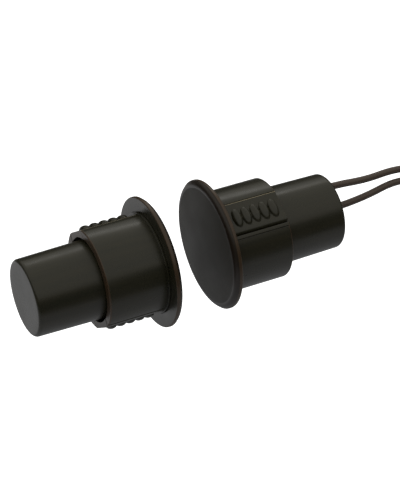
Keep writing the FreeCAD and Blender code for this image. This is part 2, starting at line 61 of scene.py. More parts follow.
camera_back = Vector((math.sin(AZIMUTH) * math.cos(ELEVATION),
                      -math.cos(AZIMUTH) * math.cos(ELEVATION), math.sin(ELEVATION)))
camera_data = bpy.data.cameras.new("catalogue_camera")
camera_data.lens, camera_data.sensor_width = 136.5, 36.0
camera_data.shift_x, camera_data.shift_y = 0.0383, 0.0060
camera_data.clip_start, camera_data.clip_end = 0.01, 20.0
camera = bpy.data.objects.new("catalogue_camera", camera_data)
camera.location = CAMERA_TARGET + camera_back * CAMERA_DISTANCE
level = camera_back.to_track_quat("Z", "Y")
camera.rotation_euler = (level @ Quaternion((0.0, 0.0, 1.0), CAMERA_ROLL)).to_euler()
bpy.context.scene.collection.objects.link(camera)
bpy.context.scene.camera = camera
bpy.context.scene.view_settings.view_transform = "Standard"
print("camera at", [round(number, 4) for number in camera.location])

# %% [markdown]
# ## Where each half stands
#
# Both halves are the same mouldings turned to face each other. Each piece is therefore drawn once,
# in millimetres, in a half's own frame: Z runs from the seat of its flange into the hole, and Y
# points at the upper tongue or at the offset lead. One matrix then carries it to its place.

# %% Frames of the two halves
MM = 0.001
SEAT_GAP = 17.5              # between the two flange seats, door closed
TONGUE_ROLL = {"switch": 120.0, "magnet": 53.0}
LEAD_ROLL = 75.0


def half_matrix(half, roll):
    """From a half's own millimetres to metres in the frame, its Y turned to roll degrees."""
    side = 1 if half == "switch" else -1
    along = Vector((side, 0, 0))
    outward = Vector((0, math.cos(math.radians(roll)), math.sin(math.radians(roll))))
    turn = Matrix((outward.cross(along), outward, along)).transposed().to_4x4()
    seat = Vector((0 if half == "switch" else -SEAT_GAP, 0, 0))
    return Matrix.Scale(MM, 4) @ Matrix.Translation(seat) @ turn


print("halves:", ", ".join(f"{half} tongue at {roll:g} degrees" for half, roll in TONGUE_ROLL.items()))

# %% [markdown]
# ## Colours and nodes
#
# Colours are written as the sRGB hex values that a paint chart gives, and the shader wants linear
# light, so one function converts them. One more function adds a node, sets it and links it. Patterns
# are sized by the real width of their features in millimetres.

# %% Colour and node helpers
# A Mix node has a set of sockets for each kind of value, all with the same names, so the ones for
# colours go by number: the share, the two colours, and the result.
MIX_SHARE, MIX_FIRST, MIX_SECOND, MIX_RESULT = 0, 6, 7, 2


def colour(code, alpha=1.0):
    """An sRGB hex value as linear red, green, blue and alpha."""
    steps = [int(code[place:place + 2], 16) / 255 for place in (1, 3, 5)]
    return [s / 12.92 if s <= 0.04045 else ((s + 0.055) / 1.055) ** 2.4 for s in steps] + [alpha]


def add_node(tree, kind, inputs, **settings):
    """A node with its settings; an input is a value, or another node's output to link."""
    made = tree.nodes.new(kind)
    for name, value in settings.items():
        setattr(made, name, value)
    for name, value in inputs.items():
        if isinstance(value, bpy.types.NodeSocket):
            tree.links.new(value, made.inputs[name])
        else:
            made.inputs[name].default_value = value
    return made


def new_material(name):
    """An empty node material, and its position input in metres."""
    material = bpy.data.materials.new(name)
    material.use_nodes = True
    material.node_tree.nodes.clear()
    place = add_node(material.node_tree, "ShaderNodeTexCoord", {}).outputs["Object"]
    return material, material.node_tree, place


def finish_material(tree, shader):
    """The output node that ends a material."""
    add_node(tree, "ShaderNodeOutputMaterial", {"Surface": shader.outputs["BSDF"]})


def per_mm(millimetres):
    """The scale of a pattern whose features are this wide, for coordinates in metres."""
    return 1 / (millimetres * MM)


# %% [markdown]
# ## The black-brown moulded plastic
#
# The capsules, sleeves and tongues are injection-moulded ABS. The tool is polished along the
# pull direction, so the plastic is satin to semi-gloss: reflections stay clear lengthwise and
# break into soft bands round the barrel. The bands are noise stretched along X, about 30 mm long
# and 1.6 mm wide. They give a shallow bump of draw marks, and they mix two browns as a painted
# reflection of the soft streaks of light along the barrel. A 7 mm mottle varies the gloss, as
# handling does, and a fine grain breaks up the highlights.

# %% Moulded ABS


def moulded_abs(name, base, warm, gloss, band_depth, grain_mm, grain_depth, ior=1.53):
    """ABS from a mould: two browns in soft bands of draw marks and painted reflection, a mottled gloss, and a fine
    grain.
    """
    material, tree, place = new_material(name)
    drawn = add_node(tree, "ShaderNodeMapping", {"Vector": place, "Scale": (0.05, 1, 1)}).outputs[0]
    draw_bands_and_sheen = add_node(tree, "ShaderNodeTexNoise", {"Vector": drawn, "Scale": per_mm(1.6), "Detail": 3.0})
    grain = add_node(tree, "ShaderNodeTexNoise", {"Vector": place, "Scale": per_mm(grain_mm), "Detail": 2.0})
    mottle = add_node(tree, "ShaderNodeTexNoise", {"Vector": place, "Scale": per_mm(7.0), "Detail": 4.0})
    # The two browns follow the bands: partly draw marks, partly painted reflection streaks.
    body = add_node(tree, "ShaderNodeMix", {MIX_SHARE: draw_bands_and_sheen.outputs["Fac"], MIX_FIRST: colour(base),
                                            MIX_SECOND: colour(warm)}, data_type="RGBA").outputs[MIX_RESULT]
    rough = add_node(tree, "ShaderNodeMapRange", {"Value": mottle.outputs["Fac"], "From Min": 0.3, "From Max": 0.7,
                                                  "To Min": gloss, "To Max": gloss + 0.07})
    banding = add_node(tree, "ShaderNodeBump", {"Height": draw_bands_and_sheen.outputs["Fac"], "Strength": 0.5,
                                                "Distance": band_depth * MM})
    surface = add_node(tree, "ShaderNodeBump", {"Height": grain.outputs["Fac"], "Strength": 0.5,
                                                "Distance": grain_depth * MM,
                                                "Normal": banding.outputs["Normal"]})
    shader = add_node(tree, "ShaderNodeBsdfPrincipled", {
        "Base Color": body, "Roughness": rough.outputs["Result"], "IOR": ior,
        "Normal": surface.outputs["Normal"]})
    finish_material(tree, shader)
    return material


# Barrels, sleeves and tongues: polished tool, so a soft semi-gloss, with lengthwise bands that are partly draw marks
# and partly painted reflection.
HOUSING_ABS = moulded_abs("black_brown_abs_polished", "#26281f", "#3c3829", 0.25, 0.03, 0.12, 0.003)
# Thin rims of the same plastic, painted a warmer, lighter brown: a painted highlight along the rims.
RIM_HIGHLIGHT_ABS = moulded_abs("black_brown_abs_rim_painted_highlight", "#45372a", "#523f2b", 0.30, 0.006, 0.12, 0.003)
# Face of the cap: finely blasted tool, so it is satin and a more neutral black.
CAP_ABS = moulded_abs("black_abs_satin_cap", "#3b3a37", "#413e38", 0.50, 0.004, 0.10, 0.006, ior=1.42)
# Rounded edge of the cap: not blasted, so a little glossier than the face; its darker, browner colour is painted shade
# where the edge turns away.
CAP_EDGE_SHADE_ABS = moulded_abs("brown_abs_cap_edge_painted_shade", "#231b13", "#2b2117", 0.32, 0.004, 0.10, 0.004)
# Edge of a tongue at the fine cut: a hair-thin pale line, a painted highlight along the edge.
EDGE_HIGHLIGHT_ABS = moulded_abs("pale_abs_painted_edge_highlight", "#aaa085", "#bcb093", 0.35, 0.004, 0.12, 0.003)
print("moulded plastics:", ", ".join(m.name for m in (HOUSING_ABS, RIM_HIGHLIGHT_ABS, CAP_ABS, CAP_EDGE_SHADE_ABS, EDGE_HIGHLIGHT_ABS)))

# %% [markdown]
# ## The leads' insulation and the bare wire
#
# Alarm leads are tinned copper strands in extruded PVC. The extruder leaves the PVC smooth along
# its length with a waxy sheen, and faint drag lines. Its brown is lighter than the housings'. The
# strands are tinned, so they are a soft grey-white metal with a little copper showing through.

# %% PVC insulation, tinned copper and the nylon tie


def extruded_pvc(name, base, warm):
    """Smooth plastic from an extruder, with blotches a few millimetres long and fine drag lines."""
    material, tree, place = new_material(name)
    blotch = add_node(tree, "ShaderNodeTexNoise", {"Vector": place, "Scale": per_mm(3.5), "Detail": 3.0})
    lines = add_node(tree, "ShaderNodeTexNoise", {"Vector": place, "Scale": per_mm(0.35), "Detail": 2.0})
    body = add_node(tree, "ShaderNodeMix", {MIX_SHARE: blotch.outputs["Fac"], MIX_FIRST: colour(base),
                                            MIX_SECOND: colour(warm)}, data_type="RGBA").outputs[MIX_RESULT]
    rough = add_node(tree, "ShaderNodeMapRange", {"Value": lines.outputs["Fac"], "To Min": 0.30, "To Max": 0.48})
    drag = add_node(tree, "ShaderNodeBump", {"Height": lines.outputs["Fac"], "Strength": 0.4,
                                             "Distance": 0.012 * MM})
    shader = add_node(tree, "ShaderNodeBsdfPrincipled", {
        "Base Color": body, "Roughness": rough.outputs["Result"], "IOR": 1.54,
        "Normal": drag.outputs["Normal"]})
    finish_material(tree, shader)
    return material


def worn_metal(name, base, tint, gloss, mark_mm, mark_depth):
    """A metal whose surface varies between two tints, with fine marks in it."""
    material, tree, place = new_material(name)
    marks = add_node(tree, "ShaderNodeTexNoise", {"Vector": place, "Scale": per_mm(mark_mm), "Detail": 4.0})
    body = add_node(tree, "ShaderNodeMix", {MIX_SHARE: marks.outputs["Fac"], MIX_FIRST: colour(base),
                                            MIX_SECOND: colour(tint)}, data_type="RGBA").outputs[MIX_RESULT]
    rough = add_node(tree, "ShaderNodeMapRange", {"Value": marks.outputs["Fac"], "To Min": gloss,
                                                  "To Max": gloss + 0.2})
    relief = add_node(tree, "ShaderNodeBump", {"Height": marks.outputs["Fac"], "Strength": 0.5,
                                               "Distance": mark_depth * MM})
    shader = add_node(tree, "ShaderNodeBsdfPrincipled", {
        "Base Color": body, "Metallic": 1.0, "Roughness": rough.outputs["Result"],
        "Normal": relief.outputs["Normal"]})
    finish_material(tree, shader)
    return material


LEAD_PVC = extruded_pvc("brown_pvc_insulation", "#584b44", "#64564d")
STRAND_TIN = worn_metal("tinned_copper_strand", "#cbc8c1", "#c09a78", 0.22, 0.25, 0.01)
TIE_NYLON = moulded_abs("black_nylon_tie", "#161615", "#1c1c1a", 0.40, 0.004, 0.15, 0.006)
print("lead finishes:", LEAD_PVC.name, STRAND_TIN.name, TIE_NYLON.name)

# %% [markdown]
# ## The finishes inside
#
# The reed, the magnet and what holds them are closed in, so they show only in a cutaway. Each still
# gets its real finish: drawn glass, plated nickel-iron, bright solder, cast and ground magnet
# alloy, natural nylon, black epoxy and closed-cell foam with cells about half a millimetre wide.

# %% Inner finishes


def cast_or_cut(name, base, tint, gloss, cell_mm, depth_mm, ior=1.5):
    """A non-metal whose cells or flow marks show as a shallow relief."""
    material, tree, place = new_material(name)
    cells = add_node(tree, "ShaderNodeTexVoronoi", {"Vector": place, "Scale": per_mm(cell_mm)})
    flow = add_node(tree, "ShaderNodeTexNoise", {"Vector": place, "Scale": per_mm(cell_mm * 4), "Detail": 3.0})
    body = add_node(tree, "ShaderNodeMix", {MIX_SHARE: flow.outputs["Fac"], MIX_FIRST: colour(base),
                                            MIX_SECOND: colour(tint)}, data_type="RGBA").outputs[MIX_RESULT]
    rough = add_node(tree, "ShaderNodeMapRange", {"Value": flow.outputs["Fac"], "To Min": gloss,
                                                  "To Max": gloss + 0.12})
    relief = add_node(tree, "ShaderNodeBump", {"Height": cells.outputs["Distance"], "Strength": 0.6,
                                               "Distance": depth_mm * MM})
    shader = add_node(tree, "ShaderNodeBsdfPrincipled", {
        "Base Color": body, "Roughness": rough.outputs["Result"], "IOR": ior,
        "Normal": relief.outputs["Normal"]})
    finish_material(tree, shader)
    return material


def reed_glass_material():
    """Drawn glass tube: clear, greenish, with faint draw streaks along it."""
    material, tree, place = new_material("drawn_green_reed_glass")
    drawn = add_node(tree, "ShaderNodeMapping", {"Vector": place, "Scale": (0.05, 1, 1)}).outputs[0]
    streaks = add_node(tree, "ShaderNodeTexNoise", {"Vector": drawn, "Scale": per_mm(0.5)})
    tint = add_node(tree, "ShaderNodeMix", {MIX_SHARE: streaks.outputs["Fac"], MIX_FIRST: colour("#d8ebdd"),
                                            MIX_SECOND: colour("#e6f3ea")}, data_type="RGBA").outputs[MIX_RESULT]
    relief = add_node(tree, "ShaderNodeBump", {"Height": streaks.outputs["Fac"], "Strength": 0.3,
                                               "Distance": 0.004 * MM})
    shader = add_node(tree, "ShaderNodeBsdfPrincipled", {
        "Base Color": tint, "Roughness": 0.03, "IOR": 1.52, "Transmission Weight": 0.95,
        "Normal": relief.outputs["Normal"]})
    finish_material(tree, shader)
    return material


REED_PLATING = worn_metal("plated_nickel_iron", "#b9b6ab", "#a8a498", 0.25, 0.3, 0.004)
SOLDER = worn_metal("bright_soft_solder", "#c9cacc", "#b2b4b8", 0.15, 0.5, 0.02)
MAGNET_CAST = worn_metal("ground_cast_magnet", "#8b8884", "#77746f", 0.35, 0.4, 0.02)
NATURAL_NYLON = cast_or_cut("natural_moulded_nylon", "#d2ccbb", "#dcd7c9", 0.42, 0.3, 0.004, 1.53)
SLEEVING = cast_or_cut("extruded_white_sleeving", "#dedbd2", "#e8e5dd", 0.38, 0.2, 0.003)
EPOXY = cast_or_cut("cast_black_epoxy", "#121211", "#1a1a18", 0.18, 1.2, 0.01, 1.55)
FOAM = cast_or_cut("closed_cell_foam", "#3a3a39", "#484846", 0.85, 0.5, 0.15)
INNER_FINISHES = {
    "reed_glass": reed_glass_material(), "reed_blade_front": REED_PLATING, "reed_blade_rear": REED_PLATING,
    "reed_lead_front": REED_PLATING, "reed_lead_rear": REED_PLATING, "return_lead_sleeve": SLEEVING,
    "solder_joint_front": SOLDER, "solder_joint_rear": SOLDER, "reed_cradle": NATURAL_NYLON,
    "rear_potting": EPOXY, "lead_a_core": STRAND_TIN, "lead_b_core": STRAND_TIN, "magnet": MAGNET_CAST,
    "magnet_holder": NATURAL_NYLON, "magnet_spacer": FOAM,
}


def give_material(node_name, material):
    """A fixed part keeps its shape and gets this finish alone."""
    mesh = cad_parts[node_name].data
    mesh.materials.clear()
    mesh.materials.append(material)


for node_name, material in INNER_FINISHES.items():
    give_material(node_name, material)
print("inner parts finished:", len(INNER_FINISHES))

# %% [markdown]
# ## Turned outlines with real edge radii
#
# A moulding has no perfectly sharp edge: the tool leaves 0.05 to 0.3 mm, and that radius catches
# the light as a thin line. A turned piece starts as an outline of corners, some with a radius of
# their own, and the helper below swaps each such corner for a short arc before it is turned.

# %% Outline and mesh helpers
SECTORS = 240                 # faces round a full turn, 0.33 mm wide at the sleeve


def softened(corners, steps=5):
    """A closed outline of (radius, height) points; a corner's third number is its own round."""
    points = []
    for index, corner in enumerate(corners):
        here = Vector(corner[:2])
        if len(corner) == 2:
            points.append(here)
            continue
        back = (Vector(corners[index - 1][:2]) - here).normalized()
        ahead = (Vector(corners[(index + 1) % len(corners)][:2]) - here).normalized()
        half = back.angle(ahead) / 2
        centre = here + (back + ahead).normalized() * (corner[2] / math.sin(half))
        reach = corner[2] / math.tan(half)
        first, last = here + back * reach - centre, here + ahead * reach - centre
        for step in range(steps + 1):
            points.append(centre + (first * (1 - step / steps) + last * (step / steps)).normalized() * corner[2])
    return points


def add_turned(mesh, outline):
    """Turn a closed outline round Z into the mesh."""
    rings = []
    for radius, height in outline:
        count = 1 if radius < 1e-6 else SECTORS
        rings.append([mesh.verts.new((radius * math.sin(math.tau * s / count), radius * math.cos(math.tau * s / count),
                                      height)) for s in range(count)])
    for low, high in zip(rings, rings[1:] + rings[:1]):
        if len(low) == len(high) == 1:
            continue
        for s in range(SECTORS):
            t = (s + 1) % SECTORS
            if len(low) == 1:
                mesh.faces.new((low[0], high[t], high[s]))
            elif len(high) == 1:
                mesh.faces.new((low[s], low[t], high[0]))
            else:
                mesh.faces.new((low[s], low[t], high[t], high[s]))


def make_piece(name, mesh, matrix, body, replaced, materials, sharp=38.0):
    """Close up a bmesh as a piece that rides on a body and stands for its CAD nodes."""
    bmesh.ops.recalc_face_normals(mesh, faces=mesh.faces)
    for face in mesh.faces:
        face.smooth = True
    for edge in mesh.edges:
        edge.smooth = not edge.is_manifold or edge.calc_face_angle(0.0) < math.radians(sharp)
    mesh.transform(matrix)
    data = bpy.data.meshes.new(name)
    mesh.to_mesh(data)
    mesh.free()
    for material in materials:
        data.materials.append(material)
    piece = bpy.data.objects.new(name, data)
    bpy.context.scene.collection.objects.link(piece)
    dress(piece, body, replaced)
    size = [round((max(v.co[k] for v in data.vertices) - min(v.co[k] for v in data.vertices)) / MM, 1)
            for k in range(3)]
    print(f"{name}: {len(data.polygons)} faces, {size} mm")
    return piece


def dress(piece, body, replaced):
    """The piece rides on a body, hides the CAD nodes it stands for and gives them its first finish."""
    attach(piece, body)
    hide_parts(*replaced)
    for node_name in replaced:
        give_material(node_name, piece.data.materials[0])


# %% [markdown]
# ## The face cap
#
# The cap is a shallow dome 33 mm across that rises only 0.8 mm, with a rounded edge that falls to
# the flange. It could be a scaled sphere, but the real outline is two arcs: a very flat one and a
# tight one, so it is turned from exactly those. A hair-wide step keeps it apart from the flange, and
# the rounded edge is painted darker and browner than the satin face, as painted shade.

# %% Face caps
FLANGE_RADIUS, FLANGE_THICKNESS = 16.4, 0.9
CAP_RIM, CAP_EDGE_HEIGHT, CAP_CROWN, CAP_ROUND, CAP_WALL = 16.25, 1.87, 2.66, 1.6, 1.8
SPIGOT_RADIUS, SPIGOT_BORE, SPIGOT_LENGTH = 7.85, 6.5, 1.8


def cap_outline():
    """From the crown along the dome and the rounded edge to the flange, then back up the spigot."""
    dome_edge, sag = CAP_RIM - CAP_ROUND, CAP_CROWN - CAP_EDGE_HEIGHT
    bend = (dome_edge ** 2 + sag ** 2) / (2 * sag)
    dome = [(r, -CAP_CROWN + bend - math.sqrt(bend ** 2 - r ** 2))
            for r in (dome_edge * step / 24 for step in range(25))]
    start, end = Vector((dome_edge, -CAP_EDGE_HEIGHT)), Vector((CAP_RIM, -FLANGE_THICKNESS))
    chord = end - start
    inward = Vector((-chord.y, chord.x)).normalized()
    centre = (start + end) / 2 + inward * math.sqrt(CAP_ROUND ** 2 - (chord.length / 2) ** 2)
    edge = [centre + (start.lerp(end, step / 10) - centre).normalized() * CAP_ROUND for step in range(1, 11)]
    inside = CAP_WALL - CAP_CROWN
    spigot = [(SPIGOT_RADIUS, -FLANGE_THICKNESS), (SPIGOT_RADIUS, SPIGOT_LENGTH), (SPIGOT_BORE, SPIGOT_LENGTH),
              (SPIGOT_BORE, inside), (0, inside)]
    return dome + [tuple(point) for point in edge] + spigot


def paint_faces(mesh, number, wanted):
    """Give a material number to the faces whose middle (radius, height) is wanted."""
    for face in mesh.faces:
        middle = face.calc_center_median()
        if wanted(math.hypot(middle.x, middle.y), middle.z):
            face.material_index = number


for half in ("switch", "magnet"):
    mesh = bmesh.new()
    add_turned(mesh, cap_outline())
    # The rounded edge is painted darker and browner than the face: painted shade.
    paint_faces(mesh, 1, lambda radius, height: radius > CAP_RIM - CAP_ROUND)
    make_piece(f"{half}_cap_dome", mesh, half_matrix(half, LEAD_ROLL), f"{half}_half",
               [f"{half}_face_cap"], [CAP_ABS, CAP_EDGE_SHADE_ABS], sharp=30)

# %% [markdown]
# ## The capsule
#
# The capsule is one moulding: a thin flange and a barrel that tapers by half a millimetre so that
# it leaves the tool. Its closed end has a soft 0.9 mm edge and is dished a little, because thick
# plastic sinks as it cools. The switch's end is drilled for its two leads, which a boolean cut
# does best, since the holes don't share the barrel's axis.

# %% Capsules
CAPSULE_LENGTH, CAPSULE_RADIUS, CAPSULE_END_RADIUS, CAPSULE_BORE = 32.4, 10.05, 9.55, 7.9
END_FACE, END_WALL, END_ROUND = 6.5, 1.6, 0.9
RECESS_RADIUS, RECESS_DEPTH = 12.8, 0.25
LEAD_SPACING, LEAD_HOLE = 6.1, 1.0
CAPSULE_CORNERS = [
    (CAPSULE_BORE, -FLANGE_THICKNESS), (FLANGE_RADIUS, -FLANGE_THICKNESS, 0.12), (FLANGE_RADIUS, 0, 0.3),
    (RECESS_RADIUS, 0, 0.05), (RECESS_RADIUS, -RECESS_DEPTH), (CAPSULE_RADIUS, -RECESS_DEPTH),
    (CAPSULE_END_RADIUS, CAPSULE_LENGTH, END_ROUND), (END_FACE, CAPSULE_LENGTH - 0.05),
    (0, CAPSULE_LENGTH - 0.18), (0, CAPSULE_LENGTH - END_WALL), (CAPSULE_BORE, CAPSULE_LENGTH - END_WALL),
]


def cut_lead_holes(piece, matrix):
    """Drill the two lead holes through the closed end."""
    mesh = bmesh.new()
    for offset in (0.0, LEAD_SPACING):
        bmesh.ops.create_cone(mesh, cap_ends=True, segments=48, radius1=LEAD_HOLE, radius2=LEAD_HOLE, depth=6,
                              matrix=Matrix.Translation((0, offset, CAPSULE_LENGTH - END_WALL / 2)))
    mesh.transform(matrix)
    data = bpy.data.meshes.new("lead_drill")
    mesh.to_mesh(data)
    mesh.free()
    drill = bpy.data.objects.new("lead_drill", data)
    bpy.context.scene.collection.objects.link(drill)
    cut = piece.modifiers.new("lead_holes", "BOOLEAN")
    cut.operation, cut.solver, cut.object = "DIFFERENCE", "EXACT", drill
    bpy.context.view_layer.update()
    evaluated = piece.evaluated_get(bpy.context.evaluated_depsgraph_get())
    drilled = bpy.data.meshes.new_from_object(evaluated)
    piece.modifiers.clear()
    piece.data = drilled
    bpy.data.objects.remove(drill)
    print(f"{piece.name}: two lead holes {2 * LEAD_HOLE} mm across, now {len(drilled.polygons)} faces")


for half in ("switch", "magnet"):
    mesh = bmesh.new()
    add_turned(mesh, softened(CAPSULE_CORNERS, 7))
    # The flange's outer edge is painted in the rim's lighter brown: a painted highlight.
    paint_faces(mesh, 1, lambda radius, height: radius > FLANGE_RADIUS - 0.32 and height < 0.2)
    shell = make_piece(f"{half}_capsule_shell", mesh, half_matrix(half, LEAD_ROLL), f"{half}_half",
                       [f"{half}_capsule"], [HOUSING_ABS, RIM_HIGHLIGHT_ABS])
    if half == "switch":
        cut_lead_holes(shell, half_matrix(half, LEAD_ROLL))

# %% [markdown]
# ## The adapter sleeve
#
# The sleeve is a tube with two lengthwise slots that free the tongues, a relief groove behind the
# flange and a scribed line beside each tongue. Cutting all that from a tube would leave ragged
# edges, so the wall between the slots is laid out as columns of points. The columns crowd together
# at the slot walls, where their height follows a 0.15 mm round, and step down into the scribed line.
# The slots have parallel walls and the tube has radial ones, so the columns near the scribed line
# turn by degrees from one kind to the other.

# %% Adapter sleeves
SLEEVE_RADIUS, SLEEVE_BORE, SLEEVE_LENGTH = 12.7, 10.6, 15.7
OPEN_SIDE, FINE_SIDE, SLOT_ROUND = 4.47, 4.20, 0.15
SCRIBE_NEAR, SCRIBE_FAR, SCRIBE_RADIUS = 5.25, 5.65, 12.38
NOSE_RADIUS, COLLAR_BORE, COLLAR_LENGTH = 12.5, 10.15, 0.85
RELIEF_RADIUS, RELIEF_START = 12.4, 0.55
FRONT_RING = [(COLLAR_BORE, -RECESS_DEPTH), (NOSE_RADIUS, -RECESS_DEPTH), (NOSE_RADIUS, 0),
              (SLEEVE_RADIUS, 0, 0.08), (SLEEVE_RADIUS, RELIEF_START, 0.08), (RELIEF_RADIUS, RELIEF_START),
              (RELIEF_RADIUS, 0.9), (SLEEVE_BORE, 0.9), (SLEEVE_BORE, COLLAR_LENGTH), (COLLAR_BORE, COLLAR_LENGTH)]
WALL = [(RELIEF_RADIUS, 0.88), (RELIEF_RADIUS, 1.0), (SLEEVE_RADIUS, 1.0, 0.08),
        (SLEEVE_RADIUS, SLEEVE_LENGTH, 0.3), (SLEEVE_BORE, SLEEVE_LENGTH, 0.15), (SLEEVE_BORE, 0.88)]


def edge_drop(distance, bend):
    """How far a rounded edge lies below its flat face, at a distance in from the wall."""
    inside = max(bend - distance, 0.0)
    return bend - math.sqrt(bend ** 2 - inside ** 2)


def chord_column(across, cap):
    """A column that keeps its distance from the tongue's middle plane on the open side."""
    return lambda r: math.pi - math.asin(across / r), cap


def wall_columns():
    """Columns of the wall from the upper slot to the lower one: an angle for a radius, and a cap."""
    near_slot = (0.0, 0.012, 0.04, 0.08, 0.15)
    columns = [(lambda r, d=d: math.asin((FINE_SIDE + d) / r), SLEEVE_RADIUS - edge_drop(d, SLOT_ROUND))
               for d in near_slot]
    full, beside = SLEEVE_RADIUS, SCRIBE_FAR + 0.03
    start, last = math.asin((FINE_SIDE + 0.4) / SLEEVE_BORE), math.pi - math.asin((SCRIBE_FAR + 0.3) / SLEEVE_BORE)
    columns += [(lambda r, angle=start + (last - start) * step / 88: angle, full) for step in range(89)]
    columns += [(lambda r, t=t: last * (1 - t) + (math.pi - math.asin(beside / r)) * t, full)
                for t in (0.25, 0.5, 0.75)]
    columns += [chord_column(beside, full), chord_column(SCRIBE_FAR, SCRIBE_RADIUS),
                chord_column((SCRIBE_NEAR + SCRIBE_FAR) / 2, SCRIBE_RADIUS),
                chord_column(SCRIBE_NEAR, SCRIBE_RADIUS), chord_column(SCRIBE_NEAR - 0.03, full),
                chord_column(SCRIBE_NEAR - 0.2, full), chord_column(OPEN_SIDE + 0.35, full)]
    columns += [chord_column(OPEN_SIDE + d, SLEEVE_RADIUS - edge_drop(d, SLOT_ROUND)) for d in reversed(near_slot)]
    return columns


def add_wall(mesh, turn):
    """One of the two walls between the slots; the second is the first turned half way round."""
    outline = softened(WALL, 6)
    grid = []
    for angle_at, cap in wall_columns():
        column = []
        for radius, height in outline:
            radius = min(radius, cap)
            angle = angle_at(radius) + turn
            column.append(mesh.verts.new((radius * math.sin(angle), radius * math.cos(angle), height)))
        grid.append(column)
    count = len(outline)
    for left, right in zip(grid, grid[1:]):
        for k in range(count):
            mesh.faces.new((left[k], left[(k + 1) % count], right[(k + 1) % count], right[k]))
    mesh.faces.new(grid[0])
    mesh.faces.new(grid[-1])


for half in ("switch", "magnet"):
    mesh = bmesh.new()
    add_turned(mesh, softened(FRONT_RING, 4))
    add_wall(mesh, 0.0)
    add_wall(mesh, math.pi)
    # The sleeve's rear rim is painted in the rim's lighter brown: a painted highlight.
    paint_faces(mesh, 1, lambda radius, height: height > SLEEVE_LENGTH - 0.32)
    make_piece(f"{half}_sleeve_shell", mesh, half_matrix(half, TONGUE_ROLL[half]), f"{half}_half",
               [f"{half}_sleeve"], [HOUSING_ABS, RIM_HIGHLIGHT_ABS])

# %% [markdown]
# ## The ribbed spring tongues
#
# Each tongue is a flat strip, sprung from the sleeve's front, that carries five oval ribs 2.45 mm
# apart. They bite on the hole's wall. A sculpted strip suits it: a fine grid of points whose height
# is the flat face, less the rounded border, plus the ribs. The grid is 0.12 mm, so a rib has
# about 20 points across. The edge at the fine cut is painted pale: a hair-thin painted highlight.

# %% Spring tongues
TONGUE_HALF, TONGUE_FACE, TONGUE_ROOT, TONGUE_ROLL_OFF = 4.12, 11.97, 1.1, 0.9
HIGHLIGHT_WIDTH, HIGHLIGHT_DEPTH = 0.14, 0.16
RIB_FIRST, RIB_PITCH, RIB_COUNT = 3.5, 2.45, 5
RIB_HALF_LENGTH, RIB_HALF_WIDTH, RIB_RISE = 2.45, 1.2, 0.9


def rib_height(across, along):
    """Height of the ribs above the flat face: each is the top half of an ellipsoid."""
    nearest = min(max(round((along - RIB_FIRST) / RIB_PITCH), 0), RIB_COUNT - 1)
    away = ((along - RIB_FIRST - nearest * RIB_PITCH) / RIB_HALF_WIDTH) ** 2 + (across / RIB_HALF_LENGTH) ** 2
    return RIB_RISE * math.sqrt(max(1 - away, 0.0))


def crowded(low, high, step):
    """Numbers from low to high, crowded at both ends where the border is rounded."""
    count = round((high - low - 0.3) / step)
    middle = [low + 0.15 + (high - low - 0.3) * k / count for k in range(count + 1)]
    return [low, low + 0.012, low + 0.04, low + 0.08] + middle + [high - 0.08, high - 0.04, high - 0.012, high]


def face_height(across, along):
    """The tongue's outer face: flat, rolled off towards the open slot, rounded at its other edges."""
    rolled = edge_drop(across + TONGUE_HALF, TONGUE_ROLL_OFF)
    rounded = edge_drop(min(TONGUE_HALF - across, SLEEVE_LENGTH - along), 0.15)
    return TONGUE_FACE - max(rolled, rounded) + rib_height(across, along)


def tongue_mesh():
    """One tongue in its half's frame: outer face, underside that follows the bore, and the walls."""
    mesh = bmesh.new()
    across_steps, along_steps = crowded(-TONGUE_HALF, TONGUE_HALF, 0.12), crowded(TONGUE_ROOT, SLEEVE_LENGTH, 0.1225)
    face = [[mesh.verts.new((across, face_height(across, along), along)) for along in along_steps]
            for across in across_steps]
    under = [[mesh.verts.new((across, math.sqrt(SLEEVE_BORE ** 2 - across ** 2), along))
              for along in (TONGUE_ROOT, SLEEVE_LENGTH)] for across in across_steps]
    for left, right, left_under, right_under in zip(face, face[1:], under, under[1:]):
        for k in range(len(left) - 1):
            mesh.faces.new((left[k], left[k + 1], right[k + 1], right[k]))
        mesh.faces.new((left_under[0], right_under[0], right_under[1], left_under[1]))
        mesh.faces.new((left[0], right[0], right_under[0], left_under[0]))
        mesh.faces.new((left[-1], left_under[1], right_under[1], right[-1]))
    mesh.faces.new(face[0] + under[0][::-1])
    mesh.faces.new(face[-1] + under[-1][::-1])
    # The tongue's end is painted in the rim's lighter brown: a painted highlight.
    paint_faces(mesh, 1, lambda radius, height: height > SLEEVE_LENGTH - 0.1)
    # The faces along the edge at the fine cut are painted pale: a painted highlight.
    for face in mesh.faces:
        middle = face.calc_center_median()
        if middle.x > TONGUE_HALF - HIGHLIGHT_WIDTH and middle.y > TONGUE_FACE - HIGHLIGHT_DEPTH:
            face.material_index = 2
    return mesh


for half in ("switch", "magnet"):
    for side, extra in (("upper", 0), ("lower", 180)):
        make_piece(f"{half}_tongue_{side}_ribbed", tongue_mesh(), half_matrix(half, TONGUE_ROLL[half] + extra),
                   f"{half}_tongue_{side}", [f"{half}_tongue_{side}"],
                   [HOUSING_ABS, RIM_HIGHLIGHT_ABS, EDGE_HIGHLIGHT_ABS])

# %% [markdown]
# ## The leads
#
# Both leads are 300 mm of 1.8 mm wire. They come out of the closed end, one on the axis and one
# above it, rise a little, and bend down under their own weight. What isn't seen is wound four
# times into a coil with the inner lead at 8.3 mm and the outer one at 10.1 mm, and tied. A curve
# with a round bevel is the natural way to draw a wire: a NURBS of order 3 runs smoothly past its
# control points, so turns of 12 points each come out round.

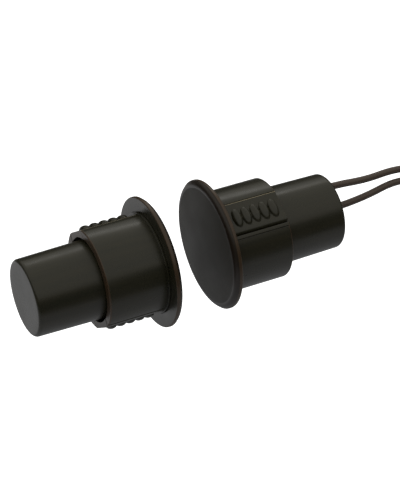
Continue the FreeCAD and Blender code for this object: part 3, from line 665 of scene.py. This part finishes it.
# %% Leads
LEAD_DIAMETER, LEAD_LENGTH = 1.8, 300.0
COIL_CENTRE = Vector((75.0, 2.7, -19.0))
COIL_TURNS, COIL_PITCH, COIL_FIRST = 4, 1.85, -1.0
LEAD_ROUTES = {
    "lead_a": [(25.5, 1.58, 5.89), (34.7, 1.58, 5.89), (44.0, 1.35, 4.95), (52.0, 1.75, 5.3),
               (58.5, 1.6, 4.2), (63.5, 1.3, 0.0), (66.2, 0.5, -6.0), (66.8, -0.4, -12.4)],
    "lead_b": [(25.5, 0.0, 0.0), (34.5, 0.0, 0.0), (43.6, -0.25, 1.1), (51.5, 0.1, 2.85),
               (57.6, -0.4, 2.0), (62.2, -0.9, -1.9), (64.7, -1.1, -7.6), (65.0, -1.1, -13.8)],
}
TAIL_ROUTES = {
    "lead_a": [(66.9, 6.5, -20.0), (66.8, 6.8, -27.0), (67.3, 7.4, -34.0)],
    "lead_b": [(64.8, 6.5, -20.0), (64.4, 7.0, -25.0), (64.0, 7.9, -30.0)],
}


def coil_turns(radius):
    """Control points of the turns; 12 a turn, set out a little so that the curve has the radius."""
    control = radius / math.cos(math.pi / 12)
    points = []
    for step in range(12 * COIL_TURNS + 1):
        angle = math.pi + math.tau * step / 12
        points.append((COIL_CENTRE.x + control * math.cos(angle), COIL_FIRST + COIL_PITCH * step / 12,
                       COIL_CENTRE.z + control * math.sin(angle)))
    return points


def make_lead(name, coil_radius):
    """One lead as a single curve: out of the capsule, round the coil, and down to its bare end."""
    route = LEAD_ROUTES[name] + coil_turns(coil_radius) + TAIL_ROUTES[name]
    data = bpy.data.curves.new(f"{name}_insulation", "CURVE")
    data.dimensions, data.bevel_depth, data.bevel_resolution = "3D", LEAD_DIAMETER / 2 * MM, 8
    data.use_fill_caps = True
    spline = data.splines.new("NURBS")
    spline.points.add(len(route) - 1)
    for point, (x, y, z) in zip(spline.points, route):
        point.co = (x * MM, y * MM, z * MM, 1.0)
    spline.order_u, spline.use_endpoint_u, spline.resolution_u = 3, True, 8
    data.materials.append(LEAD_PVC)
    lead = bpy.data.objects.new(f"{name}_insulation", data)
    bpy.context.scene.collection.objects.link(lead)
    dress(lead, "switch_half", [name, f"{name}_tail", "lead_coil"])
    print(f"{name}: {len(route)} points, coil radius {coil_radius} mm")
    return lead


lead_a = make_lead("lead_a", 8.3)
lead_b = make_lead("lead_b", 10.1)

# %% [markdown]
# ## The stripped ends
#
# Each lead ends in 5 mm of bare wire: seven tinned strands, six laid round one in a right-hand
# twist. A plain rod would hide that, so each strand is swept as its own small tube.

# %% Twisted strands
STRAND_RADIUS, STRAND_TWIST, TIP_LENGTH = 0.105, 5.0, 5.0


def strand_mesh():
    """Seven strands along Z, in millimetres."""
    mesh = bmesh.new()
    for number in range(7):
        rings = []
        for step in range(21):
            height = TIP_LENGTH * step / 20
            angle = math.tau * (number / 6 + height / STRAND_TWIST)
            offset = 0.0 if number == 6 else 2.03 * STRAND_RADIUS
            middle = Vector((offset * math.cos(angle), offset * math.sin(angle), height))
            rings.append([mesh.verts.new(middle + Vector((STRAND_RADIUS * math.cos(math.tau * k / 10),
                                                          STRAND_RADIUS * math.sin(math.tau * k / 10), 0)))
                          for k in range(10)])
        for low, high in zip(rings, rings[1:]):
            for k in range(10):
                mesh.faces.new((low[k], low[(k + 1) % 10], high[(k + 1) % 10], high[k]))
        mesh.faces.new(rings[0][::-1])
        mesh.faces.new(rings[-1])
    return mesh


for name in ("lead_a", "lead_b"):
    last, before = (Vector(TAIL_ROUTES[name][k]) for k in (-1, -2))
    aim = (last - before).to_track_quat("Z", "Y").to_matrix().to_4x4()
    make_piece(f"{name}_strands", strand_mesh(), Matrix.Scale(MM, 4) @ Matrix.Translation(last) @ aim,
                           "switch_half", [f"{name}_tip"], [STRAND_TIN])

# %% [markdown]
# ## The tie
#
# A small nylon tie holds the coil: a ribbed strap round the bundle, a square head with a slot, and
# a clipped tail. The strap is swept round a rounded rectangle; a bevelled block makes the head.

# %% Coil tie
TIE_WIDTH, TIE_THICKNESS, TIE_GAP = 2.4, 0.6, 0.1
BUNDLE_HALF_Y, BUNDLE_HALF_Z = 3.8, 1.8


def add_block(mesh, centre, size, bevel):
    """A block with rounded edges."""
    made = bmesh.ops.create_cube(mesh, size=1.0, matrix=Matrix.Translation(centre) @ Matrix.Diagonal((*size, 1)))
    edges = list({edge for vert in made["verts"] for edge in vert.link_edges})
    bmesh.ops.bevel(mesh, geom=edges, offset=bevel, segments=3, affect="EDGES", profile=0.5)


def tie_mesh():
    """The strap lies in the YZ plane round the bundle, X is its width, in millimetres."""
    mesh = bmesh.new()
    inner_y, inner_z, corner = BUNDLE_HALF_Y + TIE_GAP, BUNDLE_HALF_Z + TIE_GAP, 0.9
    half_width = TIE_WIDTH / 2
    path = softened([(-inner_y, -inner_z, corner), (inner_y, -inner_z, corner), (inner_y, inner_z, corner),
                     (-inner_y, inner_z, corner)], 8)
    dense = []
    for start, end in zip(path, path[1:] + path[:1]):
        count = max(round((end - start).length / 0.25), 1)
        dense += [start.lerp(end, step / count) for step in range(count)]
    rings = []
    for index, point in enumerate(dense):
        ahead, back = dense[(index + 1) % len(dense)], dense[index - 1]
        outward = Vector(((ahead - back).y, -(ahead - back).x)).normalized()
        rib = 0.08 if index % 2 else 0.0
        outline = [(-half_width, 0.0), (-half_width, TIE_THICKNESS - 0.1), (0.15 - half_width, TIE_THICKNESS - rib),
                   (half_width - 0.15, TIE_THICKNESS - rib), (half_width, TIE_THICKNESS - 0.1), (half_width, 0.0)]
        rings.append([mesh.verts.new((x, point.x + outward.x * rise, point.y + outward.y * rise))
                      for x, rise in outline])
    for ring, following in zip(rings, rings[1:] + rings[:1]):
        for k in range(6):
            mesh.faces.new((ring[k], ring[(k + 1) % 6], following[(k + 1) % 6], following[k]))
    add_block(mesh, (0, -inner_y - 1.05, 0.2), (3.6, 1.9, 3.2), 0.3)
    add_block(mesh, (0, -inner_y - 1.15, 2.3), (2.2, 0.7, 1.6), 0.12)
    return mesh


tie_centre = COIL_CENTRE + Vector((0, -0.47, -9.2))
coil_tie = make_piece("lead_coil_tie", tie_mesh(), Matrix.Scale(MM, 4) @ Matrix.Translation(tie_centre),
                      "switch_half", ["lead_tie"], [TIE_NYLON])

# %% [markdown]
# ## The leads' length
#
# A lead is a fixed length of something flexible; its real length is printed here.

# %% Leads' length
print("leads:", LEAD_LENGTH, "mm each")

# %% [markdown]
# ## The studio
#
# Small dark goods are shot over a lit white table under a broad soft light. What makes them
# readable is the dark band between the two, which gives each barrel its soft stripes. So the room
# is a painted sky: light from about 20 degrees up, dark at the horizon, and below it a pale part
# that stands for the table as the object would mirror it, brightest at the rear. Since the sky
# already stands for the table, the real disc shows only to the camera, and past it the camera
# sees plain white. One weak strip light behind draws the thin highlight along the barrels' tops.

# %% Table
TABLE_DROP, TABLE_RADIUS = 0.30, 0.92

mesh = bmesh.new()
bmesh.ops.create_circle(mesh, cap_ends=True, segments=96, radius=TABLE_RADIUS,
                        matrix=Matrix.Translation((0.0, 0.0, -TABLE_DROP)))
table_data = bpy.data.meshes.new("opal_table")
mesh.to_mesh(table_data)
mesh.free()
table = bpy.data.objects.new("opal_table", table_data)
bpy.context.scene.collection.objects.link(table)
opal, opal_tree, opal_place = new_material("opal_acrylic_table")
opal_cloud = add_node(opal_tree, "ShaderNodeTexNoise", {"Vector": opal_place, "Scale": per_mm(400.0)})
opal_shade = add_node(opal_tree, "ShaderNodeMix", {
    MIX_SHARE: opal_cloud.outputs["Fac"], MIX_FIRST: colour("#f4f5f8"), MIX_SECOND: colour("#fafafb")},
    data_type="RGBA").outputs[MIX_RESULT]
finish_material(opal_tree, add_node(opal_tree, "ShaderNodeBsdfPrincipled", {
    "Base Color": opal_shade, "Roughness": 0.6, "Emission Color": colour("#fbfcfd"), "Emission Strength": 1.1}))
table_data.materials.append(opal)
table.visible_glossy = table.visible_diffuse = False
print("table:", TABLE_RADIUS * 2, "m across,", TABLE_DROP, "m below the axis")

# %% Sky of soft light
world = bpy.data.worlds.new("soft_studio")
bpy.context.scene.world = world
world.use_nodes = True
sky = world.node_tree
sky.nodes.clear()

direction = add_node(sky, "ShaderNodeTexCoord", {}).outputs["Generated"]
split = add_node(sky, "ShaderNodeSeparateXYZ", {"Vector": direction})
height, rearward = split.outputs["Z"], split.outputs["Y"]
rear_raised = add_node(sky, "ShaderNodeMath", {0: rearward, 1: 0.08, 2: height},
                       operation="MULTIPLY_ADD").outputs[0]

# Each stage steps smoothly from one shade to another as a measure of direction goes from low to high.
shades = {
    "dark room": (0.04, 0.04, 0.037, 1), "overhead": (0.50, 0.49, 0.45, 1), "under": (0.26, 0.262, 0.27, 1),
    "rear": (0.75, 0.75, 0.75, 1), "front": (0.31, 0.312, 0.32, 1),
}
STAGES = [
    ("above", rear_raised, 0.26, 0.42, "dark room", "overhead"),
    ("rear table", height, -0.80, -0.35, "under", "rear"),
    ("table", rearward, -0.1, 0.6, "front", "rear table"),
    ("below", height, -0.40, -0.28, "table", "dark room"),
    ("room", height, -0.05, 0.05, "below", "above"),
]
for name, measure, low, high, first, second in STAGES:
    share = add_node(sky, "ShaderNodeMapRange", {"Value": measure, "From Min": low, "From Max": high},
                     interpolation_type="SMOOTHSTEP")
    mixed = add_node(sky, "ShaderNodeMix", {MIX_SHARE: share.outputs["Result"], MIX_FIRST: shades[first],
                                            MIX_SECOND: shades[second]}, data_type="RGBA")
    shades[name] = mixed.outputs[MIX_RESULT]

soft_light = add_node(sky, "ShaderNodeBackground", {"Color": shades["room"], "Strength": 1.0})
white = add_node(sky, "ShaderNodeBackground", {"Color": (1.0, 1.0, 1.0, 1), "Strength": 1.1})
through = add_node(sky, "ShaderNodeLightPath", {})
both = add_node(sky, "ShaderNodeMixShader", {0: through.outputs["Is Camera Ray"],
                                             1: soft_light.outputs[0], 2: white.outputs[0]})
add_node(sky, "ShaderNodeOutputWorld", {"Surface": both.outputs[0]})
print("sky:", len(STAGES), "stages")

# %% Strip light behind
STRIP_PLACE = Vector((0.42, 0.87, 0.71))

strip_data = bpy.data.lights.new("rear_strip", "AREA")
strip_data.shape, strip_data.size, strip_data.size_y = "RECTANGLE", 0.5, 0.10
strip_data.energy, strip_data.color = 0.4, (1.0, 0.98, 0.94)
strip = bpy.data.objects.new("rear_strip", strip_data)
strip.location = STRIP_PLACE
strip.rotation_euler = STRIP_PLACE.to_track_quat("Z", "Y").to_euler()
strip.visible_camera = False
bpy.context.scene.collection.objects.link(strip)
print("strip light:", strip_data.energy, "W")
